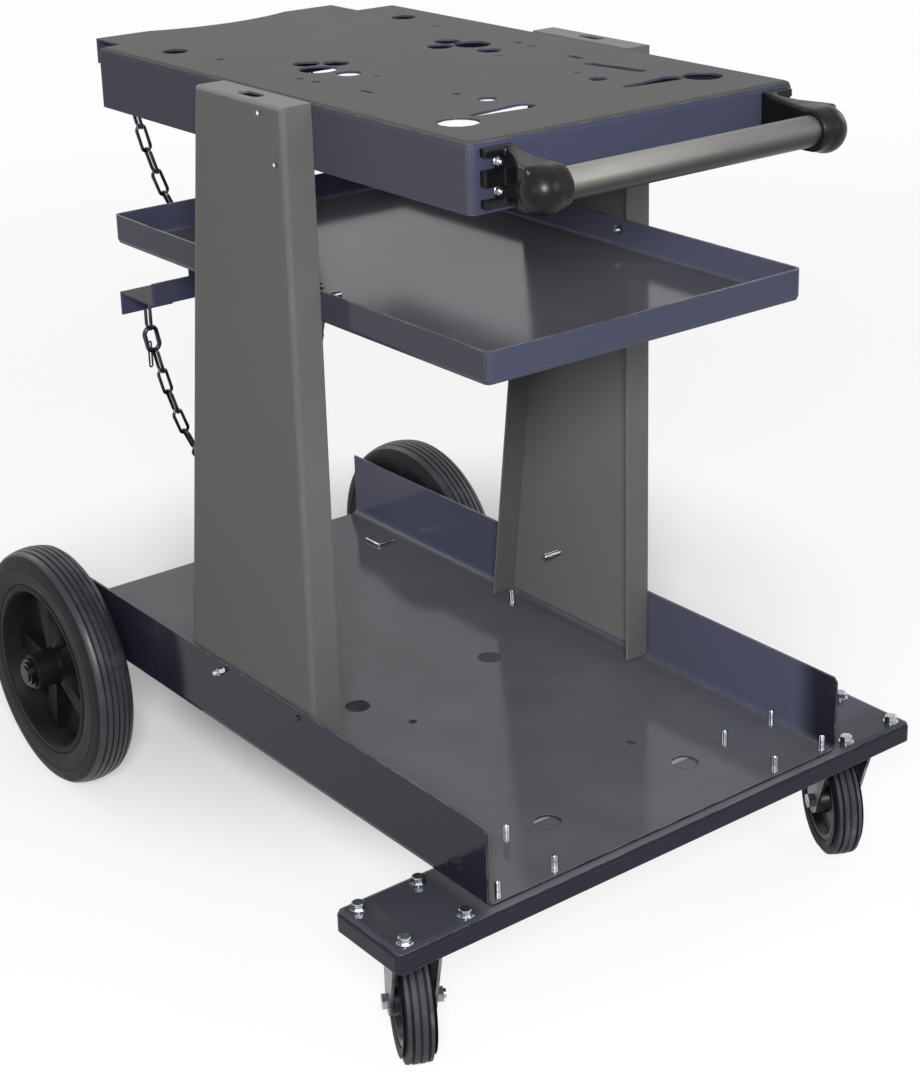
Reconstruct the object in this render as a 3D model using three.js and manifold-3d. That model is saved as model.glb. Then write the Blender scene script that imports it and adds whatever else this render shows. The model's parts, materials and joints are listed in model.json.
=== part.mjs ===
// Welding cart: folded sheet base on two big rear wheels and two front casters, two tapered columns,
// a middle tray, a machine shelf with a push handle, and two bottle brackets with retaining chains.
// Millimetres, +Z up, the handle faces -Y and the big wheels are at +Y.
import * as THREE from "three";
import { mergeVertices } from "three/addons/utils/BufferGeometryUtils.js";
import Module from "manifold-3d";

const wasm = await Module();
wasm.setup();

// Sheet metal and fits
const SHEET = 2;
const BEND = 5;
const SEAT = 0.3;
const RUN = 0.4;
const THROUGH = 1;

// Rear wheels
const WHEEL_R = 122;
const TYRE_W = 42;
const TYRE_CROWN = 17;
const TREAD_GROOVE = 2;
const RIM_R = 88;
const RIM_WALL = 7;
const WHEEL_STANDOFF = 29;
const WHEEL_INSET = 78;
const HUB_BOSS_R = 19;
const HUB_BOSS_IN = 23;
const HUB_BOSS_OUT = 31;
const WEB_T = 6;
const SPOKES = 5;
const SPOKE_W = 26;
const SPOKE_RISE = 13;
const AXLE_R = 8;
const AXLE_PROUD = 7;
const SPACER_WALL = 5;
const CLIP_WALL = 4;
const WASHER_T = 2;
const CLIP_T = 2.7;
const AXLE_BRACKET_W = 46;
const AXLE_BRACKET_L = 56;
const AXLE_BRACKET_T = 3;
const AXLE_BRACKET_INSET = 30;
const AXLE_EYE_R = 18;
const WHEEL_SEGMENTS = 28;
const ROUND_SEGMENTS = 16;

// Base, caster bar and the levels above the floor
const BAR_TOP = 145.5;
const BAR_OVERHANG = 92;
const BAR_L = 87;
const BAR_H = 18.5;
const BAR_FRONT = -270.5;
const BASE_W = 396;
const BASE_FRONT = -263;
const BASE_L = 737;
const BASE_WALL = 71;
const BASE_CHAMFER = 4;
const FLOOR_HOLE_R = 12;
const FLOOR_HOLE_X = 79;
const FLOOR_HOLE_YS = [82, -194.5];
const FLOOR_SMALL_R = 4;
const FLOOR_SMALL = [[-58, 24], [67, -137]];

// Columns
const COLUMN_FRONT = -21;
const COLUMN_TOP_L = 129;
const COLUMN_FOOT_L = 208;
const COLUMN_DEPTH = 32;
const COLUMN_SLOT_R = 6;
const COLUMN_SLOT_L = 18;

// Shelf and tray
const SHELF_TOP = 746;
const SHELF_L = 547;
const SHELF_FRONT = -222;
const SHELF_FLANGE = 54;
const TRAY_RIM = 592;
const TRAY_H = 28;
const TRAY_L = 555.5;
const TRAY_FRONT = -237;
const CORNER_R = 4;
const SMALL_HOLE_R = 4;
const HOLE_SEGMENTS = 12;

// Shelf holes as (radius, distance from the shelf's side, y), each on both sides
const SHELF_HOLES = [
  [12, 40, 254], [12, 90, 120], [12, 110, 104], [17, 83, 92], [11, 91, 58], [4, 48, 192], [4, 49, 69],
  [4, 51, 48], [4, 101, 32], [4, 103, -74], [8, 108.5, -106.5], [17, 40, -158],
];
// Shelf slots as (distance from the left or right side, y, thin end radius, thick end radius, length, turn)
const SHELF_SLOTS = [
  [-88, -147, 3.5, 9, 50, 0], [88, -147, 3.5, 9, 50, 0], [65, -78, 5, 5, 56, -80], [59, -20, 3, 3, 14, 90],
  [-57, -14, 3, 3, 12, 90],
];

// Bottle brackets and chains
const BRACKET_INSET = 33;
const BRACKET_L = 61;
const BRACKET_END = 23;
const BRACKET_FLANGE = 20;
const BRACKET_DROP = 4;
const LOWER_BRACKET_DROP = 249;
const LOWER_BRACKET_Z = SHELF_TOP - LOWER_BRACKET_DROP;
const CRADLE_R = 190;
const CRADLE_DEPTH = 16;
const TONGUE_W = 180;
const TONGUE_HOLD = 22;
const CHAIN_WIRE = 2.8;
const LINK_PITCH = 24;
const LINK_W = 11;
const LINK_BITE = 1.2;
const CHAIN_EYE_UP = 6;
const LUG_W = 56;
const CHAIN_PLAY = 0.8;
const CHAIN_LINKS = 21;

// Handle
const TUBE_R = 12.5;
const TUBE_WALL = 2;
const HANDLE_INSET = 23;
const HANDLE_REACH = 55;
const HANDLE_DROP = 27;
const PAD_W = 29;
const PAD_H = 45;
const PAD_T = 7;
const BALL_R = 21.5;
const COLLAR_R = 18;
const COLLAR_L = 26;
const SCREW_SLOT_R = 5;
const SCREW_PITCH = 22;

// Casters
const CASTER_R = 52;
const CASTER_SEGMENTS = 20;
const CASTER_W = 28;
const CASTER_INSET = 44;
const CASTER_Y = -227.5;
const CASTER_TRAIL = 21.5;
const CASTER_TURN = -27;
const CASTER_CORE_R = 38;
const CASTER_BOSS_R = 12;
const CASTER_WEB = 10;
const CASTER_PLATE = [76, 76, 3];
const BOLT_PITCH = [59, 62];
const BOLT_R = 4;
const BOLT_SEGMENTS = 8;
const BOLT_HEAD_R = 7;
const BOLT_HEAD_H = 4.5;
const NUT_H = 6.3;
const RACE_R = 26;
const RACE_H = 6;
const FORK_T = 2.5;
const FORK_EYE_R = 12;
const CROWN_L = 50;
const KINGPIN_R = 5;
const KINGPIN_HEAD = 5;
const STUD_R = 3.5;
const STUD_H = 14;
const STUD_INSET = 43;

// Levels and places worked out from the sizes above
const FLOOR_TOP = BAR_TOP + SHEET;
const WHEEL_X = BASE_W / 2 + WHEEL_STANDOFF;
const AXLE_BRACKET_X = BASE_W / 2 - AXLE_BRACKET_INSET;
const BAR_W = BASE_W + 2 * BAR_OVERHANG;
const CASTER_X = BAR_W / 2 - CASTER_INSET;
const STUD_X = BASE_W / 2 - STUD_INSET;
const SHELF_W = BASE_W - 2 * COLUMN_DEPTH;
const BRACKET_W = SHELF_W - 2 * BRACKET_INSET;
const EYE_X = BRACKET_W / 2 - LUG_W / 2;
const EYE_R = CHAIN_WIRE / 2 + CHAIN_PLAY;
const HANDLE_X = SHELF_W / 2 - HANDLE_INSET;
const WALL_IN = BASE_W / 2 - SHEET;
const COLUMN_OUT = WALL_IN - SEAT;
const COLUMN_IN = SHELF_W / 2 + SEAT;
const COLUMN_FOOT = FLOOR_TOP + BEND + SEAT;
const SHELF_REAR = SHELF_FRONT + SHELF_L;
const TRAY_REAR = TRAY_FRONT + TRAY_L;
const TRAY_FLOOR = TRAY_RIM - TRAY_H;
const BASE_REAR = BASE_FRONT + BASE_L;
const WHEEL_Y = BASE_REAR - WHEEL_INSET;
const HANDLE_Y = SHELF_FRONT - HANDLE_REACH;
const HANDLE_Z = SHELF_TOP - HANDLE_DROP;
const PLATE_TOP = BAR_TOP - SHEET - SEAT;
const PLATE_LOW = PLATE_TOP - CASTER_PLATE[2];
const RACE_LOW = PLATE_LOW - RACE_H;
const CROWN_TOP = RACE_LOW - RACE_H - 2 * SEAT;
const FORK_IN = CASTER_W / 2 + 3;
const FORK_OUT = FORK_IN + FORK_T;
const FRONT_END = HANDLE_Y - SEAT - BALL_R;
const REAR_END = WHEEL_Y + WHEEL_R;

const PAINT = { color: 0x33333d, roughness: 0.35, metalness: 0.3 };
const COLUMN_PAINT = { color: 0x4b4b4d, roughness: 0.5, metalness: 0.2 };
const ZINC = { color: 0xb9bcc0, roughness: 0.35, metalness: 0.9 };
const TUBE_PAINT = { color: 0xb4b4b4, roughness: 0.4, metalness: 0.4 };
const PLASTIC = { color: 0x17171a, roughness: 0.5, metalness: 0 };
const RUBBER = { color: 0x1c1c1e, roughness: 0.8, metalness: 0 };
const CHAIN_STEEL = { color: 0x8e9098, roughness: 0.4, metalness: 0.9 };

const cart = new THREE.Group();
cart.position.y = -(FRONT_END + REAR_END) / 2;

// Closed mesh to solid and back
function solid(geometry) {
  const bare = geometry.clone();
  bare.deleteAttribute("normal");
  bare.deleteAttribute("uv");
  const merged = mergeVertices(bare, 1e-4);
  const vertProperties = new Float32Array(merged.attributes.position.array);
  const triVerts = new Uint32Array(merged.index.array);
  return new wasm.Manifold(new wasm.Mesh({ numProp: 3, vertProperties, triVerts }));
}

function geometryOf(body) {
  const mesh = body.getMesh();
  const geometry = new THREE.BufferGeometry();
  geometry.setAttribute("position", new THREE.BufferAttribute(new Float32Array(mesh.vertProperties), 3));
  geometry.setIndex(new THREE.BufferAttribute(new Uint32Array(mesh.triVerts), 1));
  geometry.computeVertexNormals();
  return geometry;
}

function addPart(name, body, look, parent = cart) {
  const mesh = new THREE.Mesh(geometryOf(body), new THREE.MeshStandardMaterial(look));
  mesh.name = name;
  parent.add(mesh);
  return mesh;
}

// Box from its lowest to its highest corner
function block(x0, x1, y0, y1, z0, z1) {
  const box = new THREE.BoxGeometry(x1 - x0, y1 - y0, z1 - z0);
  return solid(box.translate((x0 + x1) / 2, (y0 + y1) / 2, (z0 + z1) / 2));
}

// Upright round bar
function post(r, x, y, z0, z1, segments = ROUND_SEGMENTS) {
  const bar = new THREE.CylinderGeometry(r, r, z1 - z0, segments).rotateX(Math.PI / 2);
  return solid(bar.translate(x, y, (z0 + z1) / 2));
}

// Round bar along X
function rod(r, x0, x1, y, z, segments = ROUND_SEGMENTS) {
  const bar = new THREE.CylinderGeometry(r, r, x1 - x0, segments).rotateZ(-Math.PI / 2);
  return solid(bar.translate((x0 + x1) / 2, y, z));
}

// Turned form about the X axis from pairs of (radius, place along X), closed on itself or on the axis
function turned(profile, segments) {
  const points = profile.map(([r, x]) => new THREE.Vector2(r, x));
  return solid(new THREE.LatheGeometry(points, segments).rotateZ(-Math.PI / 2));
}

function outline(points) {
  return new THREE.Shape(points.map(([u, v]) => new THREE.Vector2(u, v)));
}

// Rectangle with round corners, centred
function roundRect(width, length, r) {
  const shape = new THREE.Shape();
  const x = width / 2 - r;
  const y = length / 2 - r;
  shape.absarc(x, y, r, 0, Math.PI / 2);
  shape.absarc(-x, y, r, Math.PI / 2, Math.PI);
  shape.absarc(-x, -y, r, Math.PI, 1.5 * Math.PI);
  shape.absarc(x, -y, r, 1.5 * Math.PI, 2 * Math.PI);
  return shape;
}

// Slot between two round ends, the first at -u and the second at +u when turn is 0
function slotShape(reach, firstR, secondR, turn = 0) {
  const shape = new THREE.Shape();
  const u = (reach / 2) * Math.cos(turn);
  const v = (reach / 2) * Math.sin(turn);
  const flare = Math.asin((secondR - firstR) / reach);
  const square = Math.PI / 2 + flare;
  shape.absarc(u, v, secondR, turn - square, turn + square);
  shape.absarc(-u, -v, firstR, turn + square, turn + 2 * Math.PI - square);
  return shape;
}

// Extrusion along Z
function prism(shape, z0, z1, curveSegments = 5) {
  const geometry = new THREE.ExtrudeGeometry(shape, { depth: z1 - z0, bevelEnabled: false, curveSegments });
  return solid(geometry.translate(0, 0, z0));
}

// Extrusion along X of a shape drawn in (y, z)
function sidePrism(shape, x0, x1, curveSegments = 5) {
  const geometry = new THREE.ExtrudeGeometry(shape, { depth: x1 - x0, bevelEnabled: false, curveSegments });
  return solid(geometry.rotateX(Math.PI / 2).rotateZ(Math.PI / 2).translate(x0, 0, 0));
}

// Extrusion along Y of a shape drawn in (x, z)
function frontPrism(shape, y0, y1, curveSegments = 5) {
  const geometry = new THREE.ExtrudeGeometry(shape, { depth: y1 - y0, bevelEnabled: false, curveSegments });
  return solid(geometry.rotateX(Math.PI / 2).translate(0, y1, 0));
}

// Folded pan with its floor at z = 0 and four walls going up, round bends all about
function pan(width, length, height, sheet, bend) {
  const shell = (inset) => {
    const r = bend - inset;
    const shape = roundRect(width - 2 * inset - 2 * r, length - 2 * inset - 2 * r, CORNER_R - r / 2);
    const options = { depth: height, bevelThickness: r, bevelSize: r, bevelSegments: 2, curveSegments: 2 };
    return solid(new THREE.ExtrudeGeometry(shape, options).translate(0, 0, r + inset));
  };
  const rim = block(-width, width, -length, length, height, height * 3);
  return shell(0).subtract(shell(sheet)).subtract(rim);
}

// Open folded strip: the mid-lines of its outer faces, bent with round corners
function foldedShape(points, sheet, bend) {
  const arms = points.map(([u, v]) => new THREE.Vector2(u, v));
  const side = (offset, radius) => {
    const run = [];
    arms.forEach((corner, i) => {
      const before = i > 0 ? corner.clone().sub(arms[i - 1]).normalize() : null;
      const after = i < arms.length - 1 ? arms[i + 1].clone().sub(corner).normalize() : null;
      const normal = (d) => new THREE.Vector2(-d.y, d.x);
      if (!before || !after) {
        run.push(corner.clone().addScaledVector(normal(before ?? after), offset));
        return;
      }
      const turn = Math.sign(before.cross(after));
      const r = radius(turn);
      const tangent = bend + sheet;
      const centre = corner.clone().addScaledVector(before, -tangent);
      centre.addScaledVector(normal(before), turn * tangent);
      const start = Math.atan2(-turn * before.x, turn * before.y);
      for (let k = 0; k <= 3; k += 1) {
        const angle = start + (turn * k * Math.PI) / 6;
        run.push(new THREE.Vector2(centre.x + r * Math.cos(angle), centre.y + r * Math.sin(angle)));
      }
    });
    return run;
  };
  const outer = side(0, () => bend + sheet);
  const inner = side(sheet, () => bend).reverse();
  return new THREE.Shape([...outer, ...inner]);
}

// Base: floor with two full-length side walls folded up
function baseTray() {
  const half = BASE_W / 2;
  const top = BAR_TOP + BASE_WALL;
  const fold = foldedShape([[-half, top], [-half, BAR_TOP], [half, BAR_TOP], [half, top]], SHEET, BEND);
  let body = frontPrism(fold, BASE_FRONT, BASE_REAR);
  const nose = outline([
    [BASE_FRONT - THROUGH, top + THROUGH],
    [BASE_FRONT - THROUGH, top - BASE_CHAMFER - THROUGH],
    [BASE_FRONT + BASE_CHAMFER + THROUGH, top + THROUGH],
  ]);
  body = body.subtract(sidePrism(nose, -half - THROUGH, half + THROUGH));
  const hole = (r, x, y) => post(r, x, y, BAR_TOP - THROUGH, FLOOR_TOP + THROUGH);
  for (const y of FLOOR_HOLE_YS) {
    body = body.subtract(hole(FLOOR_HOLE_R, FLOOR_HOLE_X, y)).subtract(hole(FLOOR_HOLE_R, -FLOOR_HOLE_X, y));
  }
  for (const [x, y] of FLOOR_SMALL) {
    body = body.subtract(hole(FLOOR_SMALL_R, x, y));
  }
  return body;
}

// Four places of a bolt pattern round a centre
function pattern(x, y) {
  const places = [];
  for (const i of [-1, 1]) {
    for (const j of [-1, 1]) {
      places.push([x + (i * BOLT_PITCH[0]) / 2, y + (j * BOLT_PITCH[1]) / 2]);
    }
  }
  return places;
}

// Cross channel under the front of the base, open below, its ends carry the casters
function casterBar() {
  let body = solid(geometryOf(pan(BAR_W, BAR_L, BAR_H, SHEET, BEND)).rotateX(Math.PI));
  body = body.translate([0, BAR_FRONT + BAR_L / 2, BAR_TOP]);
  for (const side of [-1, 1]) {
    for (const [x, y] of pattern(side * CASTER_X, CASTER_Y)) {
      body = body.subtract(post(BOLT_R + RUN, x, y, BAR_TOP - BAR_H, BAR_TOP + THROUGH, BOLT_SEGMENTS));
    }
  }
  return body;
}

// Column: channel open to the inside, upright front edge, slanting rear edge, closed top with a slot
function column(side) {
  const rearFoot = COLUMN_FRONT + COLUMN_FOOT_L;
  const rearTop = COLUMN_FRONT + COLUMN_TOP_L;
  const lean = (rearFoot - rearTop) / (SHELF_TOP - COLUMN_FOOT);
  const below = COLUMN_FOOT - 4 * BEND;
  const face = (inset, sideInset, top) => outline([
    [COLUMN_FRONT + inset, below],
    [rearFoot + (COLUMN_FOOT - below) * lean - sideInset, below],
    [rearTop + (SHELF_TOP - top) * lean - sideInset, top],
    [COLUMN_FRONT + inset, top],
  ]);
  const depth = COLUMN_OUT - COLUMN_IN;
  const skin = face(BEND, BEND, SHELF_TOP - BEND);
  const options = { depth: 2 * depth, bevelThickness: BEND, bevelSize: BEND, bevelSegments: 3 };
  const sheet = new THREE.ExtrudeGeometry(skin, options).rotateX(Math.PI / 2).rotateZ(Math.PI / 2);
  let body = solid(sheet.translate(COLUMN_OUT - BEND - 2 * depth, 0, 0));
  body = body.intersect(block(COLUMN_IN, COLUMN_OUT, COLUMN_FRONT, rearFoot, COLUMN_FOOT, SHELF_TOP));
  const cavity = face(SHEET, SHEET, SHELF_TOP - SHEET);
  body = body.subtract(sidePrism(cavity, COLUMN_IN - THROUGH, COLUMN_OUT - SHEET));
  const opening = slotShape(COLUMN_SLOT_L, COLUMN_SLOT_R, COLUMN_SLOT_R, Math.PI / 2);
  const slot = prism(opening, SHELF_TOP - 2 * SHEET, SHELF_TOP + THROUGH);
  const middle = COLUMN_FRONT + COLUMN_TOP_L / 2;
  body = body.subtract(slot.translate([(COLUMN_IN + COLUMN_OUT) / 2, middle, 0]));
  return side > 0 ? body : solid(mirrored(geometryOf(body)));
}

// Mirror image across the cart's middle plane, with its faces turned out again
function mirrored(geometry) {
  const copy = geometry.clone().scale(-1, 1, 1);
  const index = copy.index.array;
  for (let i = 0; i < index.length; i += 3) {
    [index[i], index[i + 1]] = [index[i + 1], index[i]];
  }
  return copy;
}

// Machine shelf: pan turned over, its top cut with round holes and slots for different machines
function topShelf() {
  let body = solid(geometryOf(pan(SHELF_W, SHELF_L, SHELF_FLANGE, SHEET, BEND)).rotateX(Math.PI));
  body = body.translate([0, (SHELF_FRONT + SHELF_REAR) / 2, SHELF_TOP]);
  const low = SHELF_TOP - 2 * SHEET;
  const high = SHELF_TOP + THROUGH;
  for (const side of [-1, 1]) {
    for (const [r, inset, y] of SHELF_HOLES) {
      const segments = r > SMALL_HOLE_R ? HOLE_SEGMENTS : HOLE_SEGMENTS / 2;
      body = body.subtract(post(r, side * (SHELF_W / 2 - inset), y, low, high, segments));
    }
  }
  for (const [inset, y, firstR, secondR, reach, degrees] of SHELF_SLOTS) {
    const shape = slotShape(reach, firstR, secondR, THREE.MathUtils.degToRad(degrees));
    const x = Math.sign(inset) * SHELF_W / 2 - inset;
    body = body.subtract(prism(shape, low, high, 3).translate([x, y, 0]));
  }
  return body;
}

function middleTray() {
  const middle = (TRAY_FRONT + TRAY_REAR) / 2;
  return pan(SHELF_W, TRAY_L, TRAY_H, SHEET, BEND).translate([0, middle, TRAY_FLOOR]);
}

// Bottle bracket: plate with a wide cradle in its rear edge, a flange along its front edge, and on each
// side of the cradle a lug folded down with a chain eye
function bottleBracket(front, top, flangeUp) {
  const rear = front + BRACKET_L;
  const half = BRACKET_W / 2;
  let body = block(-half, half, front, rear, top - SHEET, top);
  body = body.subtract(post(CRADLE_R, 0, rear + CRADLE_R - CRADLE_DEPTH, top - 2 * SHEET, top + THROUGH, 96));
  for (const side of [-1, 1]) {
    const x = side * EYE_X;
    const lug = block(x - LUG_W / 2, x + LUG_W / 2, rear - SHEET, rear, top - BRACKET_END, top);
    const eye = new THREE.CylinderGeometry(EYE_R, EYE_R, BEND, HOLE_SEGMENTS);
    body = body.add(lug.subtract(solid(eye.translate(x, chainY(front), chainEyeZ(top)))));
  }
  const wall = flangeUp ? [top - SHEET, top + BRACKET_FLANGE] : [top - BRACKET_FLANGE, top];
  return body.add(block(-half + SHEET, half - SHEET, front, front + SHEET, wall[0], wall[1]));
}

// A chain hangs in the middle of the lugs' sheet
function chainY(front) {
  return front + BRACKET_L - SHEET / 2;
}

function chainEyeZ(top) {
  return top - BRACKET_END + CHAIN_EYE_UP;
}

// The lower bracket hangs from the tray's rear wall by a tongue of its own front flange
function lowerBracket() {
  const front = TRAY_REAR + SEAT;
  const half = TONGUE_W / 2;
  const tongue = block(-half, half, front, front + SHEET, LOWER_BRACKET_Z, TRAY_FLOOR + TONGUE_HOLD);
  return bottleBracket(front, LOWER_BRACKET_Z, true).add(tongue);
}

// One stadium link lying in the XZ plane, long along X
function link() {
  const ring = new THREE.TorusGeometry((LINK_W - CHAIN_WIRE) / 2, CHAIN_WIRE / 2, 4, 6).rotateX(Math.PI / 2);
  const stretch = (LINK_PITCH + CHAIN_WIRE - LINK_BITE - (LINK_W - CHAIN_WIRE)) / 2;
  const place = ring.attributes.position;
  for (let i = 0; i < place.count; i += 1) {
    place.setX(i, place.getX(i) + Math.sign(place.getX(i)) * stretch);
  }
  return ring;
}

// Hanging curve of a given length between two points of equal height: its point and slope at a run s
function catenary(span, length) {
  let low = span / 40;
  let high = span * 40;
  for (let i = 0; i < 60; i += 1) {
    const a = (low + high) / 2;
    if (2 * a * Math.sinh(span / 2 / a) > length) {
      low = a;
    } else {
      high = a;
    }
  }
  const a = (low + high) / 2;
  const level = a * Math.cosh(span / 2 / a);
  return (s) => {
    const x = a * Math.asinh(s / a);
    return { x, z: a * Math.cosh(x / a) - level, slope: Math.atan(Math.sinh(x / a)) };
  };
}

// Chain hanging between the two eyes of a bracket: an upright link in each eye, the rest along the curve
function chain(links, y, eyeZ) {
  const bow = (LINK_PITCH + CHAIN_WIRE - LINK_BITE) / 2;
  const endZ = eyeZ - bow;
  const hung = links - 2;
  const curve = catenary(2 * EYE_X, hung * LINK_PITCH);
  let body = null;
  const place = (x, z, tilt, turn) => {
    const ring = solid(link().rotateX(turn).rotateY(-tilt).translate(x, y, z));
    body = body ? body.add(ring) : ring;
  };
  place(-EYE_X, endZ, Math.PI / 2, Math.PI / 2);
  for (let i = 0; i < hung; i += 1) {
    const { x, z, slope } = curve((i + 0.5 - hung / 2) * LINK_PITCH);
    place(x, endZ - LINK_PITCH / 2 + z, slope, i % 2 === 0 ? 0 : Math.PI / 2);
  }
  place(EYE_X, endZ, Math.PI / 2, Math.PI / 2);
  return body;
}

// Handle bracket: pad with three claws, swept neck, ball elbow and collar for the tube
function handleBracket(side) {
  const back = SHELF_FRONT - SEAT;
  const pad = new THREE.Shape(roundRect(PAD_W, PAD_H, CORNER_R).getPoints(3));
  let body = frontPrism(pad, -PAD_T, 0);
  for (const j of [-1, 1]) {
    const slot = slotShape(PAD_W, SCREW_SLOT_R, SCREW_SLOT_R);
    const cut = frontPrism(slot, -PAD_T - THROUGH, THROUGH);
    body = body.subtract(cut.translate([-PAD_W / 2, 0, (j * SCREW_PITCH) / 2]));
  }
  const profile = new THREE.Shape();
  profile.moveTo(-PAD_T / 2, PAD_H / 2);
  profile.quadraticCurveTo(-HANDLE_REACH / 2, BALL_R / 2, -HANDLE_REACH, BALL_R - 2 * SHEET);
  profile.lineTo(-HANDLE_REACH, -BALL_R + 2 * SHEET);
  profile.quadraticCurveTo(-HANDLE_REACH / 2, -BALL_R / 2, -PAD_T / 2, -PAD_H / 2);
  const plan = new THREE.Shape();
  plan.moveTo(PAD_W / 2, -PAD_T / 2);
  plan.quadraticCurveTo(BALL_R / 2, -HANDLE_REACH / 2, BALL_R - 2 * SHEET, -HANDLE_REACH);
  plan.lineTo(-BALL_R + 2 * SHEET, -HANDLE_REACH);
  plan.quadraticCurveTo(-BALL_R / 2, -HANDLE_REACH / 2, SCREW_SLOT_R - PAD_W / 2 + BEND, -PAD_T / 2);
  const neck = sidePrism(profile, -PAD_W, PAD_W, 4).intersect(prism(plan, -PAD_H, PAD_H, 4));
  const ball = new THREE.SphereGeometry(BALL_R, ROUND_SEGMENTS, ROUND_SEGMENTS / 2).rotateX(Math.PI / 2);
  body = body.add(neck).add(solid(ball.translate(0, -HANDLE_REACH, 0)));
  body = body.add(rod(COLLAR_R, 0, COLLAR_L, -HANDLE_REACH, 0, ROUND_SEGMENTS));
  body = body.subtract(rod(TUBE_R + SEAT, SEAT, COLLAR_L + THROUGH, -HANDLE_REACH, 0));
  body = body.translate([-HANDLE_X, back, HANDLE_Z]);
  return side < 0 ? body : solid(mirrored(geometryOf(body)));
}

function handleTube() {
  const end = HANDLE_X - 2 * SEAT;
  const bore = TUBE_R - TUBE_WALL;
  const profile = [[bore, -end], [TUBE_R, -end], [TUBE_R, end], [bore, end], [bore, -end]];
  const wall = turned(profile, ROUND_SEGMENTS);
  return wall.translate([0, HANDLE_Y - SEAT, HANDLE_Z]);
}

// Rear tyre: crowned tread with round-about grooves, seated on the rim
function rearTyre() {
  const half = TYRE_W / 2;
  const inner = RIM_R + SEAT;
  const tread = WHEEL_R - TREAD_GROOVE;
  return turned([
    [inner, -half + 4], [RIM_R + 8, -half], [WHEEL_R - TYRE_CROWN, -half], [WHEEL_R - 5, -half + 6],
    [WHEEL_R - 1, -9], [tread - 1, -6], [WHEEL_R, -4], [WHEEL_R, 4], [tread - 1, 6], [WHEEL_R - 1, 9],
    [WHEEL_R - 5, half - 6], [WHEEL_R - TYRE_CROWN, half], [RIM_R + 8, half],
    [inner, half - 4], [inner, -half + 4],
  ], WHEEL_SEGMENTS);
}

// Rear hub: rim, dished web, wedge spokes on the outer side and a long bored boss
function rearHub() {
  const half = TYRE_W / 2 - 1;
  const webOut = -half + 2 * WEB_T;
  const bore = AXLE_R + RUN;
  const rimIn = RIM_R - RIM_WALL;
  let body = turned([
    [bore, -HUB_BOSS_IN], [HUB_BOSS_R, -HUB_BOSS_IN], [HUB_BOSS_R, webOut - WEB_T], [rimIn, webOut - WEB_T],
    [rimIn, -half], [RIM_R, -half], [RIM_R, half], [rimIn, half], [rimIn - 3, webOut], [HUB_BOSS_R, webOut],
    [HUB_BOSS_R, HUB_BOSS_OUT - 2], [HUB_BOSS_R - 2, HUB_BOSS_OUT], [bore, HUB_BOSS_OUT],
    [bore, -HUB_BOSS_IN],
  ], WHEEL_SEGMENTS);
  const wedge = outline([
    [-SPOKE_W / 3, HUB_BOSS_R - 4], [SPOKE_W / 3, HUB_BOSS_R - 4],
    [SPOKE_W / 2, rimIn + 2], [-SPOKE_W / 2, rimIn + 2],
  ]);
  for (let i = 0; i < SPOKES; i += 1) {
    const spoke = new THREE.ExtrudeGeometry(wedge, { depth: SPOKE_RISE, bevelEnabled: false });
    spoke.rotateX(Math.PI / 2).rotateZ(Math.PI / 2).translate(webOut - 1, 0, 0);
    body = body.add(solid(spoke.rotateX((i * 2 * Math.PI) / SPOKES)));
  }
  return body;
}

// U-shaped bracket under the floor that carries the axle near one wheel
function axleBracket(side) {
  const half = AXLE_BRACKET_W / 2;
  let body = block(-half, half, -AXLE_BRACKET_L / 2, AXLE_BRACKET_L / 2, BAR_TOP - AXLE_BRACKET_T, BAR_TOP);
  const ear = new THREE.Shape();
  ear.moveTo(-AXLE_BRACKET_L / 2, BAR_TOP);
  ear.lineTo(-AXLE_EYE_R, WHEEL_R);
  ear.absarc(0, WHEEL_R, AXLE_EYE_R, Math.PI, 2 * Math.PI);
  ear.lineTo(AXLE_BRACKET_L / 2, BAR_TOP);
  for (const i of [-1, 1]) {
    const x = i * (half - AXLE_BRACKET_T / 2);
    body = body.add(sidePrism(ear, x - AXLE_BRACKET_T / 2, x + AXLE_BRACKET_T / 2));
  }
  body = body.subtract(rod(AXLE_R + SEAT, -AXLE_BRACKET_W, AXLE_BRACKET_W, 0, WHEEL_R));
  return body.translate([side * AXLE_BRACKET_X, WHEEL_Y, 0]);
}

// Ring round the axle, between two places measured from the middle of the cart
function axleRing(side, outerR, boreR, from, to) {
  const profile = [[boreR, from], [outerR, from], [outerR, to], [boreR, to], [boreR, from]];
  const ring = turned(profile, ROUND_SEGMENTS);
  const body = side > 0 ? ring : solid(mirrored(geometryOf(ring)));
  return body.translate([0, WHEEL_Y, WHEEL_R]);
}

// Caster: plate with its race, loose race ring, kingpin, fork, wheel and axle bolt
function ringPost(outerR, boreR, z0, z1) {
  return post(outerR, 0, 0, z0, z1).subtract(post(boreR, 0, 0, z0 - THROUGH, z1 + THROUGH));
}

function casterPlate() {
  const [w, l, t] = CASTER_PLATE;
  let body = prism(roundRect(w, l, 2 * CORNER_R), PLATE_LOW, PLATE_LOW + t, 3);
  for (const [x, y] of pattern(0, 0)) {
    body = body.subtract(post(BOLT_R + RUN, x, y, PLATE_LOW - THROUGH, PLATE_TOP + THROUGH, BOLT_SEGMENTS));
  }
  return body.add(ringPost(RACE_R, RACE_R - 4, RACE_LOW, PLATE_LOW));
}

function casterKingpin() {
  const low = CROWN_TOP - FORK_T - SEAT;
  const shank = post(KINGPIN_R, 0, 0, low - KINGPIN_HEAD, PLATE_LOW);
  return shank.add(post(2 * KINGPIN_R, 0, 0, low - KINGPIN_HEAD, low));
}

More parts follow.
